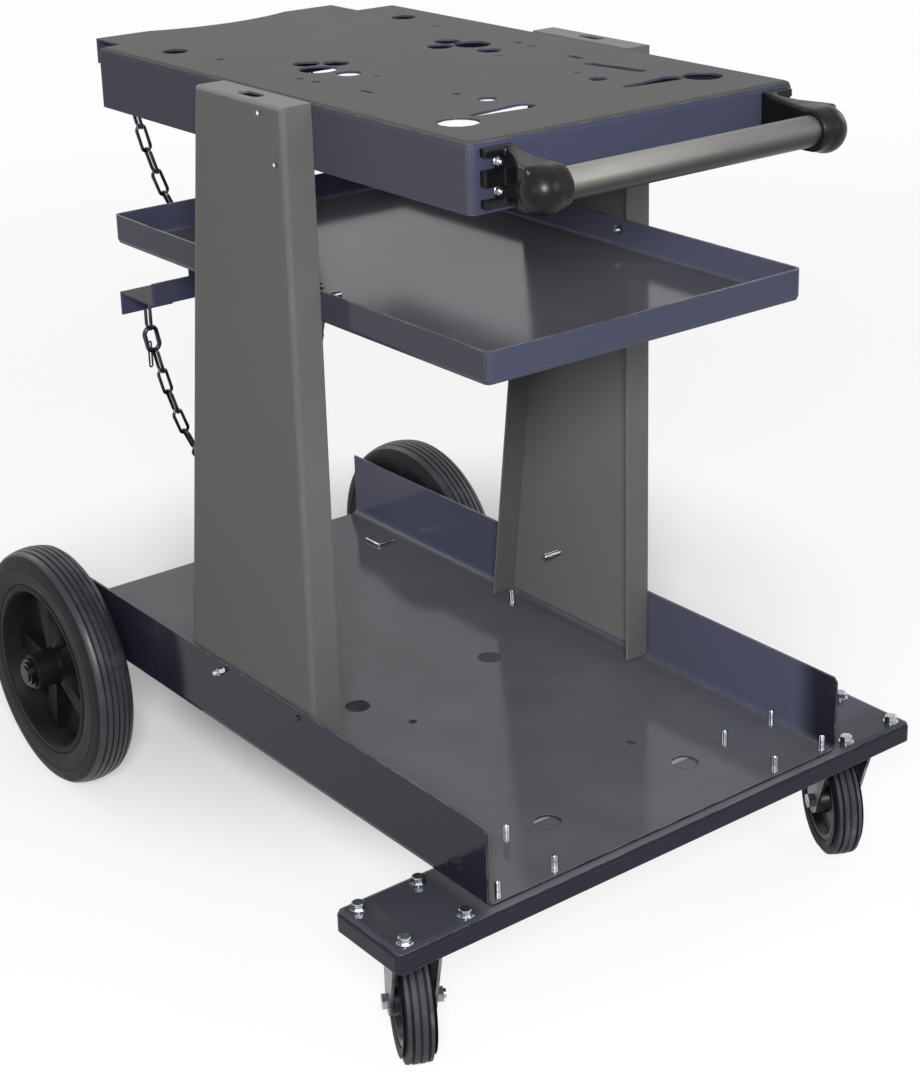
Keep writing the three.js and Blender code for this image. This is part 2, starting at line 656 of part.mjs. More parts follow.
function casterFork() {
  const leg = new THREE.Shape();
  leg.moveTo(-CROWN_L / 2, CROWN_TOP);
  leg.lineTo(-CROWN_L / 2, CROWN_TOP - 3 * FORK_T);
  leg.absarc(CASTER_TRAIL, CASTER_R, FORK_EYE_R, Math.PI, 2 * Math.PI);
  leg.lineTo(CROWN_L / 2 + CASTER_TRAIL / 2, CROWN_TOP);
  let body = block(-FORK_OUT, FORK_OUT, -CROWN_L / 2, CROWN_L / 2, CROWN_TOP - FORK_T, CROWN_TOP);
  body = body.add(sidePrism(leg, -FORK_OUT, -FORK_IN)).add(sidePrism(leg, FORK_IN, FORK_OUT));
  body = body.subtract(post(KINGPIN_R + RUN, 0, 0, CROWN_TOP - 2 * FORK_T, CROWN_TOP + THROUGH));
  return body.subtract(rod(BOLT_R + SEAT, -BASE_W, BASE_W, CASTER_TRAIL, CASTER_R));
}

function casterTyre() {
  const half = CASTER_W / 2;
  const inner = CASTER_CORE_R + SEAT;
  return turned([
    [inner, -half + 2], [CASTER_CORE_R + 4, -half], [CASTER_R - 6, -half], [CASTER_R - 1, -half + 4],
    [CASTER_R, -5], [CASTER_R - 2, -3], [CASTER_R, 0], [CASTER_R - 2, 3], [CASTER_R, 5],
    [CASTER_R - 1, half - 4], [CASTER_R - 6, half], [CASTER_CORE_R + 4, half], [inner, half - 2],
    [inner, -half + 2],
  ], CASTER_SEGMENTS);
}

function casterCore() {
  const half = CASTER_W / 2 - 2;
  const bore = BOLT_R + RUN;
  const boss = FORK_IN - RUN;
  const web = CASTER_WEB / 2;
  const rim = CASTER_CORE_R - CASTER_WEB / 2;
  return turned([
    [bore, -boss], [CASTER_BOSS_R, -boss], [CASTER_BOSS_R, -web], [rim, -web], [rim, -half],
    [CASTER_CORE_R, -half], [CASTER_CORE_R, half], [rim, half], [rim, web], [CASTER_BOSS_R, web],
    [CASTER_BOSS_R, boss], [bore, boss], [bore, -boss],
  ], CASTER_SEGMENTS);
}

function hexRod(r, x0, x1, y, z) {
  return rod(r, x0, x1, y, z, 6);
}

function casterAxle() {
  const head = hexRod(BOLT_HEAD_R, -FORK_OUT - SEAT - BOLT_HEAD_H, -FORK_OUT - SEAT, CASTER_TRAIL, CASTER_R);
  return head.add(rod(BOLT_R, -FORK_OUT - SEAT - 1, FORK_OUT + 2 * BOLT_HEAD_H, CASTER_TRAIL, CASTER_R));
}

function casterNut() {
  const face = FORK_OUT + SEAT;
  const nut = hexRod(BOLT_HEAD_R, face, face + NUT_H, CASTER_TRAIL, CASTER_R);
  return nut.subtract(rod(BOLT_R + SEAT, 0, 2 * FORK_OUT, CASTER_TRAIL, CASTER_R));
}

// Bolt through the bar and the caster plate, head on top and nut below
function casterBolt(x, y) {
  const head = post(BOLT_HEAD_R, x, y, BAR_TOP, BAR_TOP + BOLT_HEAD_H, 6);
  const nut = post(BOLT_HEAD_R, x, y, PLATE_LOW - BOLT_HEAD_H - SEAT, PLATE_LOW - SEAT, 6);
  return head.add(nut).add(post(BOLT_R, x, y, PLATE_LOW - BOLT_HEAD_H - 2, BAR_TOP + 1, BOLT_SEGMENTS));
}

function sideName(side) {
  return side < 0 ? "left" : "right";
}

addPart("base_tray", baseTray(), PAINT);
addPart("caster_bar", casterBar(), PAINT);
addPart("top_shelf", topShelf(), PAINT);
addPart("middle_tray", middleTray(), PAINT);
const upperTop = SHELF_TOP - BRACKET_DROP;
const upperFront = SHELF_REAR + SEAT;
const lowerFront = TRAY_REAR + SEAT;
addPart("upper_bottle_bracket", bottleBracket(upperFront, upperTop, false), PAINT);
addPart("lower_bottle_bracket", lowerBracket(), PAINT);
addPart("upper_chain", chain(CHAIN_LINKS, chainY(upperFront), chainEyeZ(upperTop)), CHAIN_STEEL);
addPart("lower_chain", chain(CHAIN_LINKS, chainY(lowerFront), chainEyeZ(LOWER_BRACKET_Z)), CHAIN_STEEL);
addPart("handle_tube", handleTube(), TUBE_PAINT);
const axleEnd = WHEEL_X + HUB_BOSS_OUT + AXLE_PROUD;
addPart("rear_axle", rod(AXLE_R, -axleEnd, axleEnd, WHEEL_Y, WHEEL_R), ZINC);

for (const side of [-1, 1]) {
  const name = sideName(side);
  addPart(`${name}_column`, column(side), COLUMN_PAINT);
  addPart(`${name}_handle_bracket`, handleBracket(side), PLASTIC);
  addPart(`${name}_axle_bracket`, axleBracket(side), PAINT);
  const cheek = AXLE_BRACKET_X + AXLE_BRACKET_W / 2 + SEAT;
  const hubIn = WHEEL_X - HUB_BOSS_IN - RUN;
  const hubOut = WHEEL_X + HUB_BOSS_OUT + RUN;
  const bore = AXLE_R + SEAT;
  addPart(`${name}_axle_spacer`, axleRing(side, AXLE_R + SPACER_WALL, bore, cheek, hubIn), ZINC);
  const washer = axleRing(side, HUB_BOSS_R - CLIP_WALL, bore, hubOut, hubOut + WASHER_T);
  addPart(`${name}_axle_washer`, washer, ZINC);
  const clipIn = hubOut + WASHER_T + SEAT;
  addPart(`${name}_axle_clip`, axleRing(side, AXLE_R + CLIP_WALL, bore, clipIn, clipIn + CLIP_T), ZINC);
  const wheel = new THREE.Group();
  wheel.position.set(side * WHEEL_X, WHEEL_Y, WHEEL_R);
  cart.add(wheel);
  const turnOut = (body) => (side > 0 ? body : solid(mirrored(geometryOf(body))));
  addPart(`${name}_rear_tyre`, rearTyre(), RUBBER, wheel);
  addPart(`${name}_rear_hub`, turnOut(rearHub()), PLASTIC, wheel);

  const caster = new THREE.Group();
  caster.position.set(side * CASTER_X, CASTER_Y, 0);
  cart.add(caster);
  addPart(`${name}_caster_plate`, casterPlate(), ZINC, caster);
  addPart(`${name}_caster_kingpin`, casterKingpin(), ZINC, caster);
  const swivel = new THREE.Group();
  swivel.rotation.z = THREE.MathUtils.degToRad(CASTER_TURN);
  caster.add(swivel);
  addPart(`${name}_caster_race`, ringPost(RACE_R, KINGPIN_R + RUN, CROWN_TOP, RACE_LOW - SEAT), ZINC, swivel);
  addPart(`${name}_caster_fork`, casterFork(), ZINC, swivel);
  addPart(`${name}_caster_axle`, casterAxle(), ZINC, swivel);
  addPart(`${name}_caster_nut`, casterNut(), ZINC, swivel);
  const roller = new THREE.Group();
  roller.position.set(0, CASTER_TRAIL, CASTER_R);
  swivel.add(roller);
  addPart(`${name}_caster_tyre`, casterTyre(), RUBBER, roller);
  addPart(`${name}_caster_core`, casterCore(), PLASTIC, roller);
  pattern(side * CASTER_X, CASTER_Y).forEach(([x, y], i) => {
    addPart(`${name}_caster_bolt_${i + 1}`, casterBolt(x, y), ZINC);
  });
  pattern(side * STUD_X, CASTER_Y).forEach(([x, y], i) => {
    const stud = post(STUD_R, x, y, FLOOR_TOP, FLOOR_TOP + STUD_H, BOLT_SEGMENTS);
    addPart(`${name}_floor_stud_${i + 1}`, stud, ZINC);
  });
}

export default cart;
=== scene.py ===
# %% [markdown]
# # A welding cart
# The cart is a folded sheet-metal base on two big rear wheels and two front casters. Two tapered columns
# carry a tray and a machine shelf, a push handle sits on the shelf's front, and two brackets behind hold
# a gas bottle with chains. The solids are loaded as a fixed frame. Here they get their finishes, and the
# pieces that need a rounder or finer form are modelled again in the same places.

# %% Load the frame
import bpy
import json
import math
from mathutils import Matrix, Vector


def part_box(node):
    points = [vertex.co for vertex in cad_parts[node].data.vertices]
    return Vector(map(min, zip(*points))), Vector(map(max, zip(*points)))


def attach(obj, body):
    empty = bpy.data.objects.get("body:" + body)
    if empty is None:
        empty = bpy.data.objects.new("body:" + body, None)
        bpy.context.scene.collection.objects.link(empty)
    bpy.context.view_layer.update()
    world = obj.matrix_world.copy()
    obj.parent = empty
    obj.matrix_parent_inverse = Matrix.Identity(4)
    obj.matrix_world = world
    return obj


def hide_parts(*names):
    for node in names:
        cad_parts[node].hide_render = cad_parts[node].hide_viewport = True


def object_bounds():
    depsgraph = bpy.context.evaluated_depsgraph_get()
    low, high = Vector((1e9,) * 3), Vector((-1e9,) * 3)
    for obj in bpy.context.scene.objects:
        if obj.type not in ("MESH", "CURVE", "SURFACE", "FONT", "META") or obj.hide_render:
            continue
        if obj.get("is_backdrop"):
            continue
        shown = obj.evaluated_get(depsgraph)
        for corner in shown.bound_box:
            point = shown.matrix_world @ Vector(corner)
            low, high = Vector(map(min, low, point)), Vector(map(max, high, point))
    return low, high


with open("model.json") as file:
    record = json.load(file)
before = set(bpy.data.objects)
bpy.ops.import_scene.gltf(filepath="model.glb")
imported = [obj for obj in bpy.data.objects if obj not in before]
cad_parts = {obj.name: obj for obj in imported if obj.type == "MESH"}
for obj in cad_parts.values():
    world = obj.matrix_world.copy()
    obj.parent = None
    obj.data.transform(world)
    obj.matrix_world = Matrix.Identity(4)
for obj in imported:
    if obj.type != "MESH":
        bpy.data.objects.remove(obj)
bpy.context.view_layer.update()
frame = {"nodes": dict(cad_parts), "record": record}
nodes = frame["nodes"]

# %% [markdown]
# ## Camera
# The photograph was taken from the front left, a little above the shelf. The camera's place and turn were
# worked out from the cart's corners in the picture: its right-hand and forward directions are written as
# they came out, and the up direction follows from them. The shift moves the frame without tilting.

# %% Camera
EYE = Vector((-1.1010, -1.54244, 1.0900))
RIGHT = Vector((0.78442, -0.61982, -0.02242))
FORWARD = Vector((0.57869, 0.74441, -0.33312))
FOCAL_PIXELS = 2173.9
PICTURE = (920, 1072)
CENTRE = (482.1, 402.2)

camera_data = bpy.data.cameras.new("camera")
camera = bpy.data.objects.new("camera", camera_data)
bpy.context.scene.collection.objects.link(camera)
up = RIGHT.cross(FORWARD)
turn = Matrix((RIGHT, up, -FORWARD)).transposed().to_4x4()
camera.matrix_world = Matrix.Translation(EYE) @ turn
camera_data.sensor_width = 36
camera_data.lens = FOCAL_PIXELS / PICTURE[1] * camera_data.sensor_width
camera_data.shift_x = (PICTURE[0] / 2 - CENTRE[0]) / PICTURE[1]
camera_data.shift_y = (CENTRE[1] - PICTURE[1] / 2) / PICTURE[1]
bpy.context.scene.camera = camera
bpy.context.scene.view_settings.view_transform = "Standard"
print("lens", round(camera_data.lens, 1), "mm")

# %% [markdown]
# ## A small language for finishes
# A finish is a web of shader nodes. Written out node by node it is hard to read, so one class wraps a
# socket and gives it plus, minus and times. `node` makes any node from its type, its settings and its
# inputs, and every other helper is a short call of it. A `Finish` is a material with the places that its
# patterns start from.

# %% Socket class
MM = 0.001


class Wire:
    """One output of a node in a material, with arithmetic."""

    def __init__(self, tree, socket):
        self.tree = tree
        self.socket = socket

    def node(self, kind, settings=None, output=0, **inputs):
        """Any node from its type, settings and inputs: underscore for space, in0 for the first by number."""
        made = self.tree.nodes.new(kind)
        for key, value in (settings or {}).items():
            setattr(made, key, value)
        for key, value in inputs.items():
            numbered = key[:2] == "in" and key[2:].isdigit()
            slot = made.inputs[int(key[2:]) if numbered else key.replace("_", " ")]
            if isinstance(value, Wire):
                self.tree.links.new(value.socket, slot)
            else:
                slot.default_value = value
        return Wire(self.tree, made.outputs[output])

    def math(self, operation, other=0.0, third=0.0):
        return self.node("ShaderNodeMath", {"operation": operation}, in0=self, in1=other, in2=third)

    def __add__(self, other):
        return self.math("ADD", other)

    __radd__ = __add__

    def __mul__(self, other):
        return self.math("MULTIPLY", other)

    __rmul__ = __mul__

    def __sub__(self, other):
        return self.math("SUBTRACT", other)

    def __rsub__(self, other):
        return self.node("ShaderNodeMath", {"operation": "SUBTRACT"}, in0=other, in1=self)

    def ramp(self, low, high, to_low=0.0, to_high=1.0):
        """Smooth change from one value to another."""
        return self.node(
            "ShaderNodeMapRange", {"interpolation_type": "SMOOTHSTEP"}, in0=self, in1=low, in2=high,
            in3=to_low, in4=to_high,
        )

    def blend(self, first, second):
        """Colour that goes from the first to the second as this value goes from 0 to 1."""
        kind = {"data_type": "RGBA"}
        return self.node("ShaderNodeMix", kind, output=2, in0=self, in6=first, in7=second)

    def part(self, index):
        return self.node("ShaderNodeSeparateXYZ", output=index, in0=self)


def colour(red, green, blue):
    """Colour as it looks on a screen, 0 to 255, turned into light."""
    def light(v):
        v = v / 255
        return v / 12.92 if v <= 0.04045 else ((v + 0.055) / 1.055) ** 2.4
    return (light(red), light(green), light(blue), 1)


class Finish:
    """A new material with its shader, and the places that its patterns start from."""

    def __init__(self, name, **sockets):
        self.material = bpy.data.materials.new(name)
        self.material.use_nodes = True
        self.tree = self.material.node_tree
        self.shader = self.tree.nodes["Principled BSDF"]
        start = self.tree.nodes.new("ShaderNodeTexCoord")
        self.place = Wire(self.tree, start.outputs["Object"])
        shape = self.tree.nodes.new("ShaderNodeNewGeometry")
        self.normal = Wire(self.tree, shape.outputs["Normal"])
        for key, value in sockets.items():
            self.set(key, value)

    def set(self, name, value):
        slot = self.shader.inputs[name.replace("_", " ")]
        if isinstance(value, Wire):
            self.tree.links.new(value.socket, slot)
        else:
            slot.default_value = value

    def noise(self, scale, detail=3.0, place=None):
        return self.place.node(
            "ShaderNodeTexNoise", Vector=place or self.place, Scale=scale, Detail=detail, Roughness=0.55
        )

    def stretched(self, x, y, z):
        """The place, pulled out or pressed along each axis."""
        times = {"operation": "MULTIPLY"}
        return self.place.node("ShaderNodeVectorMath", times, in0=self.place, in1=(x, y, z))

    def edges(self, radius):
        """1 along edges and 0 on flat faces: how far a rounded normal leans away from the true one."""
        self.rounded = self.place.node("ShaderNodeBevel", {"samples": 4}, Radius=radius)
        dot = {"operation": "DOT_PRODUCT"}
        lean = self.place.node("ShaderNodeVectorMath", dot, 1, in0=self.rounded, in1=self.normal)
        return (1.0 - lean).ramp(0.0, 0.12)

    def bump(self, height, strength, distance):
        """Small ripples, laid on the rounded normal where the finish has one."""
        base = {"Normal": self.rounded} if hasattr(self, "rounded") else {}
        self.set("Normal", self.place.node(
            "ShaderNodeBump", Strength=strength, Distance=distance, Height=height, **base
        ))


print("finish helpers ready")

# %% [markdown]
# ## Sheet paint
# The folded parts are sprayed in a dark blue-grey gloss. A real sprayed coat is not flat: it has a fine
# orange-peel ripple, slightly duller patches, a film of dust where the face looks up, and thin bright lines
# along the folds, partly wear and partly painted highlight. These lines follow a rounded normal, which leans
# away from the true one only at an edge.
# Front and side faces take lit and shaded copies of the colour, which is painted light. Near the ground the
# outer faces carry painted shade, the inner faces on the right are painted lighter, and the bar's ends
# outside the walls hold little dust. The shelf and the columns are duller than the rest.

# %% Sheet paint
def sprayed(name, front, side, lit_inner_colour, low, dust, dust_amount, dust_outside, roughness, gloss):
    """Paint with painted light and shade: its own colour for front and side faces, lighter inner faces on the
    right and darker faces low down.
    """
    finish = Finish(name, Specular_IOR_Level=gloss)
    # Painted light: inner faces on the right take a lighter colour, and front and side faces take lit and
    # shaded copies of the paint.
    lit_inner_mask = finish.place.part(0).ramp(0.0, 0.15) * finish.place.part(1).ramp(-0.36, -0.32)
    sideways = finish.normal.part(0).math("ABSOLUTE").ramp(0.4, 0.9)
    upper = sideways.blend(front, lit_inner_mask.blend(side, lit_inner_colour))
    # Painted shade: faces darken towards the low colour near the ground, except the lighter inner faces.
    above_low_shade = finish.place.part(2).ramp(0.08, 0.5).math("MAXIMUM", lit_inner_mask)
    main = above_low_shade.blend(low, upper)
    patches = finish.noise(14.0, 4.0)
    upward = finish.normal.part(2).ramp(0.55, 0.98)
    swept = finish.place.part(0).math("ABSOLUTE").ramp(0.19, 0.21, 1.0, dust_outside)
    film = upward * dust_amount * swept * patches.ramp(0.25, 0.8, 0.8, 1.0)
    speck = finish.noise(650.0, 2.0).ramp(0.62, 0.75) * 0.2
    coat = speck.blend(film.blend(main, dust), colour(100, 100, 106))
    # Bright folds: wear together with a painted highlight along the edges.
    worn_and_lit_edge = finish.edges(1.2 * MM) * finish.noise(60.0, 3.0).ramp(0.35, 0.65) * 0.45
    finish.set("Base Color", worn_and_lit_edge.blend(coat, colour(150, 150, 156)))
    finish.set("Roughness", roughness + (patches - 0.5) * 0.08)
    finish.bump(finish.noise(420.0, 2.0), 0.05, 0.0006)
    return finish.material


sheet_paint = sprayed(
    "sheet_paint", front=colour(56, 58, 76), side=colour(52, 53, 62), lit_inner_colour=colour(76, 77, 95),
    low=colour(25, 26, 37), dust=colour(94, 93, 98), dust_amount=0.85, dust_outside=0.35,
    roughness=0.12, gloss=0.13,
)
shelf_paint = sprayed(
    "shelf_paint", front=colour(56, 58, 76), side=colour(60, 61, 70), lit_inner_colour=colour(60, 61, 70),
    low=colour(38, 39, 51), dust=colour(78, 77, 73), dust_amount=0.9, dust_outside=1.0,
    roughness=0.34, gloss=0.03,
)
column_paint = sprayed(
    "column_paint", front=colour(86, 86, 86), side=colour(80, 80, 80), lit_inner_colour=colour(106, 106, 106),
    low=colour(78, 78, 77), dust=colour(130, 130, 127), dust_amount=0.9, dust_outside=1.0,
    roughness=0.42, gloss=0.12,
)
print("paints", sheet_paint.name, shelf_paint.name, column_paint.name)

# %% [markdown]
# ## Tube, zinc, chain, plastic and rubber
# The handle tube is pale brushed metal with faint lengthwise streaks. Painted shade darkens it to the right
# and on its underside.
# Bolts are zinc plated: bright metal with small cloudy spangles. The forks are the same metal gone dull,
# the chains and the axle's ends the same gone dark. The moulded pieces are black plastic with a fine eroded
# grain, and the tyres are black rubber with treads greyed by dust.

# %% Metals
def plated(name, main, dark, roughness):
    finish = Finish(name, Metallic=1.0)
    spangle = finish.noise(240.0, 2.0)
    stain = finish.noise(45.0, 3.0)
    finish.set("Base Color", stain.ramp(0.35, 0.75).blend(main, dark))
    finish.set("Roughness", roughness + (spangle - 0.5) * 0.2)
    finish.bump(spangle, 0.05, 0.0004)
    return finish.material


zinc = plated("zinc", colour(186, 190, 196), colour(112, 116, 122), 0.24)
chain_steel = plated("chain_steel", colour(78, 79, 88), colour(30, 31, 37), 0.22)
dull_zinc = plated("dull_zinc", colour(126, 128, 132), colour(70, 72, 76), 0.38)
dark_steel = plated("dark_steel", colour(60, 61, 64), colour(34, 35, 38), 0.36)

tube_finish = Finish("tube_paint", Metallic=0.5)
streak = tube_finish.noise(60.0, 3.0, tube_finish.stretched(0.15, 1.0, 1.0))
# Painted light and shade along the tube: lighter colours at its left end, darker ones to the right.
clear = streak.ramp(0.3, 0.7).blend(colour(152, 151, 145), colour(132, 131, 127))
shaded_right_colour = streak.ramp(0.3, 0.7).blend(colour(112, 111, 109), colour(94, 93, 93))
brushed_with_painted_falloff = tube_finish.place.part(0).ramp(-0.15, 0.08).blend(clear, shaded_right_colour)
# Painted shade: the colour darkens on faces that look down.
underside_shade = tube_finish.normal.part(2).ramp(0.82, -0.45)
tube_finish.set("Base Color", underside_shade.blend(brushed_with_painted_falloff, colour(36, 35, 37)))
tube_finish.set("Roughness", 0.38 + (streak - 0.5) * 0.15)
tube_finish.bump(tube_finish.noise(500.0, 2.0), 0.04, 0.0003)
tube_paint = tube_finish.material
print("metals", zinc.name, chain_steel.name, tube_paint.name)

# %% Plastic and rubber
def moulded(name, main, dusty, roughness, grain_size, gloss):
    finish = Finish(name, Specular_IOR_Level=gloss)
    scuff = finish.noise(40.0, 4.0)
    finish.set("Base Color", scuff.ramp(0.45, 0.85).blend(main, dusty))
    finish.set("Roughness", roughness + scuff.ramp(0.4, 0.8) * 0.16)
    finish.bump(finish.noise(grain_size, 2.0), 0.08, 0.0004)
    return finish.material


black_plastic = moulded("black_plastic", colour(13, 13, 15), colour(25, 24, 26), 0.3, 900.0, 0.18)
hub_plastic = moulded("hub_plastic", colour(15, 15, 17), colour(27, 27, 30), 0.45, 900.0, 0.08)
tyre_rubber = moulded("tyre_rubber", colour(22, 22, 25), colour(40, 40, 44), 0.5, 700.0, 0.15)
worn_tread = moulded("worn_tread", colour(46, 47, 52), colour(98, 99, 106), 0.55, 500.0, 0.2)
rear_tread = moulded("rear_tread", colour(38, 38, 43), colour(66, 66, 72), 0.4, 500.0, 0.4)
print("moulded", black_plastic.name, tyre_rubber.name, worn_tread.name)

# %% [markdown]
# ## Finishes on the solids
# Every solid that stays in view takes the finish of its material slot in the record. A few differ from the
# rest of their slot: the axle's ends are darker, the forks duller, the shelf and bottle brackets less glossy.

# %% Assign finishes
FINISH_OF_SLOT = {
    "sheet_paint": sheet_paint,
    "column_paint": column_paint,
    "tube": tube_paint,
    "zinc": zinc,
    "chain": chain_steel,
    "black_plastic": black_plastic,
    "tyre": tyre_rubber,
}
for subpart in frame["record"]["subparts"]:
    solid = nodes[subpart["node"]]
    solid.data.materials.clear()
    finish = FINISH_OF_SLOT[subpart["material_slot"]]
    if solid.name.endswith(("axle_washer", "axle_clip", "axle_spacer", "rear_axle")):
        finish = dark_steel
    if solid.name.endswith("caster_fork"):
        finish = dull_zinc
    if solid.name in ("top_shelf", "upper_bottle_bracket", "lower_bottle_bracket"):
        finish = shelf_paint
    solid.data.materials.append(finish)

# %% [markdown]
# ## Working with operators
# Every new piece starts from a primitive and is shaped by the same operators that a person would press.
# `start` adds the primitive, `pick` selects faces or corners by a rule, `settle` bakes the piece's place
# into its mesh, turns its faces out, smooths it, and ties it to the solid body that it moves with.

# %% Helpers
def start(operator, name, **settings):
    bpy.ops.object.select_all(action="DESELECT")
    operator(**settings)
    piece = bpy.context.object
    piece.name = name
    return piece


def only(piece):
    if bpy.context.mode != "OBJECT":
        bpy.ops.object.mode_set(mode="OBJECT")
    bpy.ops.object.select_all(action="DESELECT")
    piece.select_set(True)
    bpy.context.view_layer.objects.active = piece


def mode(name):
    bpy.ops.object.mode_set(mode=name)


def pick(piece, kind, rule):
    """Goes into edit mode with just the corners or faces that follow the rule."""
    only(piece)
    mode("EDIT")
    bpy.ops.mesh.select_mode(type=kind)
    bpy.ops.mesh.select_all(action="DESELECT")
    mode("OBJECT")
    for item in piece.data.vertices if kind == "VERT" else piece.data.polygons:
        item.select = rule(item)
    mode("EDIT")


def bake(piece, place=(0, 0, 0), turn=(0, 0, 0)):
    """Turns the piece, moves it, and writes both into its mesh."""
    only(piece)
    piece.rotation_euler = [math.radians(v) for v in turn]
    piece.location = place
    bpy.ops.object.transform_apply(location=True, rotation=True, scale=True)
    return piece


def modify(piece, kind, **settings):
    only(piece)
    made = piece.modifiers.new(kind.lower(), kind)
    for key, value in settings.items():
        setattr(made, key, value)
    bpy.ops.object.modifier_apply(modifier=made.name)


def combine(piece, operation, *others):
    """Adds, cuts or intersects the piece with others, which are used up."""
    for other in others:
        modify(piece, "BOOLEAN", operation=operation, object=other, solver="EXACT")
        bpy.data.objects.remove(other)
    return piece


def join(piece, *others):
    only(piece)
    for other in others:
        other.select_set(True)
    bpy.ops.object.join()
    return piece


def copied(piece, name):
    only(piece)
    bpy.ops.object.duplicate()
    bpy.context.object.name = name
    return bpy.context.object


def settle(piece, body, slot, *replaced, angle=35):
    bake(piece)
    mode("EDIT")
    bpy.ops.mesh.select_all(action="SELECT")
    bpy.ops.mesh.normals_make_consistent(inside=False)
    mode("OBJECT")
    bpy.ops.object.shade_smooth_by_angle(angle=math.radians(angle))
    if not piece.data.materials:
        piece.data.materials.append(FINISH_OF_SLOT[slot])
    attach(piece, body)
    if replaced:
        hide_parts(*replaced)
    return piece


def middle(node):
    low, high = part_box(node)
    return (Vector(low) + Vector(high)) / 2


def spun(name, profile, segments=64, closed=False):
    """Round form about Z from (radius, height) pairs in mm: a circle pulled up and resized ring by ring.
    A closed profile comes back to its first pair and makes a ring, an open one makes a capped bar."""
    radius, height = profile[0]
    piece = start(
        bpy.ops.mesh.primitive_circle_add, name, vertices=segments, radius=radius * MM,
        location=(0, 0, height * MM), fill_type="NOTHING" if closed else "NGON", enter_editmode=True,
    )
    for next_radius, next_height in profile[1:]:
        rise = (0, 0, (next_height - height) * MM)
        bpy.ops.mesh.extrude_region_move(TRANSFORM_OT_translate={"value": rise})
        grow = next_radius / radius
        bpy.ops.transform.resize(value=(grow, grow, 1), center_override=(0, 0, next_height * MM))
        radius, height = next_radius, next_height
    bpy.ops.mesh.select_all(action="SELECT")
    bpy.ops.mesh.remove_doubles(threshold=1e-6)
    bpy.ops.mesh.normals_make_consistent(inside=False)
    mode("OBJECT")
    bpy.ops.object.transform_apply(location=True, rotation=True, scale=True)
    return piece


OUTWARD = {-1: (0, -90, 0), 1: (0, 90, 0)}
SIDES = {-1: "left", 1: "right"}
print("operators ready")

# %% [markdown]
# ## Tyres
# A tyre is a ring of one section: a bead that sits on the rim, a bulging side wall with a thin moulded
# line, and a crowned tread with narrow grooves all round. The section is written as radius and width
# pairs, with the grooves made by a loop, and pulled round ring by ring.

# %% Tyres
def tyre_section(rim, radius, half, shoulder, crown, grooves, groove):
    """Pairs for a tyre: the tread falls from the radius by the crown at its shoulders."""
    wide, deep = groove

    def fall(x):
        return radius - crown * (x / shoulder) ** 2

    tread = [(fall(shoulder), -shoulder)]
    for x in grooves:
        tread += [(fall(x - wide), x - wide), (fall(x) - deep, x - 0.4 * wide)]
        tread += [(fall(x) - deep, x + 0.4 * wide), (fall(x + wide), x + wide)]
    tread.append((fall(shoulder), shoulder))
    bulge = (rim + radius) / 2
    wall = [
        (rim, half - 1.4), (rim + 3, half - 0.4), (rim + 7, half), (bulge - 1, half), (bulge, half - 0.7),
        (bulge + 1, half), (radius - 9, half - 0.8), (radius - 5, half - 2.6),
    ]
    near = [(r, -x) for r, x in wall]
    return near + tread + wall[::-1] + near[:1]


def two_toned(tyre, tread, worn_from):
    """Tread rubber on the faces further out than a radius in mm, black on the rest."""
    for finish in (tyre_rubber, tread):
        tyre.data.materials.append(finish)
    for face in tyre.data.polygons:
        face.material_index = int(face.center.xy.length > worn_from * MM)


REAR_TYRE = tyre_section(88.3, 122, 21, 15.5, 2.6, (-12, -6, 0, 6, 12), (1.1, 1.8))
CASTER_TYRE = tyre_section(38.3, 52, 14, 10.5, 0.8, (-6.5, 0, 6.5), (1.2, 1.6))
CASTER_TURN = -27
for side, name in SIDES.items():
    tyre = spun(name + "_rear_tyre_look", REAR_TYRE, 96, closed=True)
    two_toned(tyre, rear_tread, 118)
    bake(tyre, turn=OUTWARD[side])
    bake(tyre, place=middle(name + "_rear_tyre"))
    settle(tyre, name + "_rear_wheel", "tyre", name + "_rear_tyre")
    roller = spun(name + "_caster_tyre_look", CASTER_TYRE, 72, closed=True)
    two_toned(roller, worn_tread, 51)
    bake(roller, turn=OUTWARD[side])
    bake(roller, place=middle(name + "_caster_tyre"), turn=(0, 0, CASTER_TURN))
    settle(roller, name + "_caster_wheel", "tyre", name + "_caster_tyre")
    print(name, "tyres", len(tyre.data.polygons), len(roller.data.polygons))

# %% [markdown]
# ## Wheel hubs
# The rear hub is one black moulding: a rim with a rounded lip, a deep dished web, wedge-shaped spokes that
# stand up from the web, and a long boss on the axle. The dish is spun, each spoke is a block whose outer
# end is widened, and the bevel afterwards gives every edge the thin bright line that a moulding has.

# %% Hubs
SPOKES = 5
SPOKE = (62, 17, 15)
SPOKE_PLACE = (47, 0, -2)
FLARE = 1.7
HUB = [
    (8.4, -23), (19, -23), (19, -14), (40, -15), (78, -16), (80, -20), (88, -20), (88, 19), (86.5, 20),
    (81.5, 20), (80, 18), (76, -6), (40, -9), (20.5, -7), (18.5, 10), (17.5, 29), (15.5, 31), (8.4, 31),
    (8.4, -23),
]
CORE = [
    (4.4, -16.6), (12, -16.6), (13, -6), (30, -5), (33, -12), (38, -12), (38, 12), (33, 12), (30, 5), (13, 6),
    (12, 16.6), (4.4, 16.6), (4.4, -16.6),
]


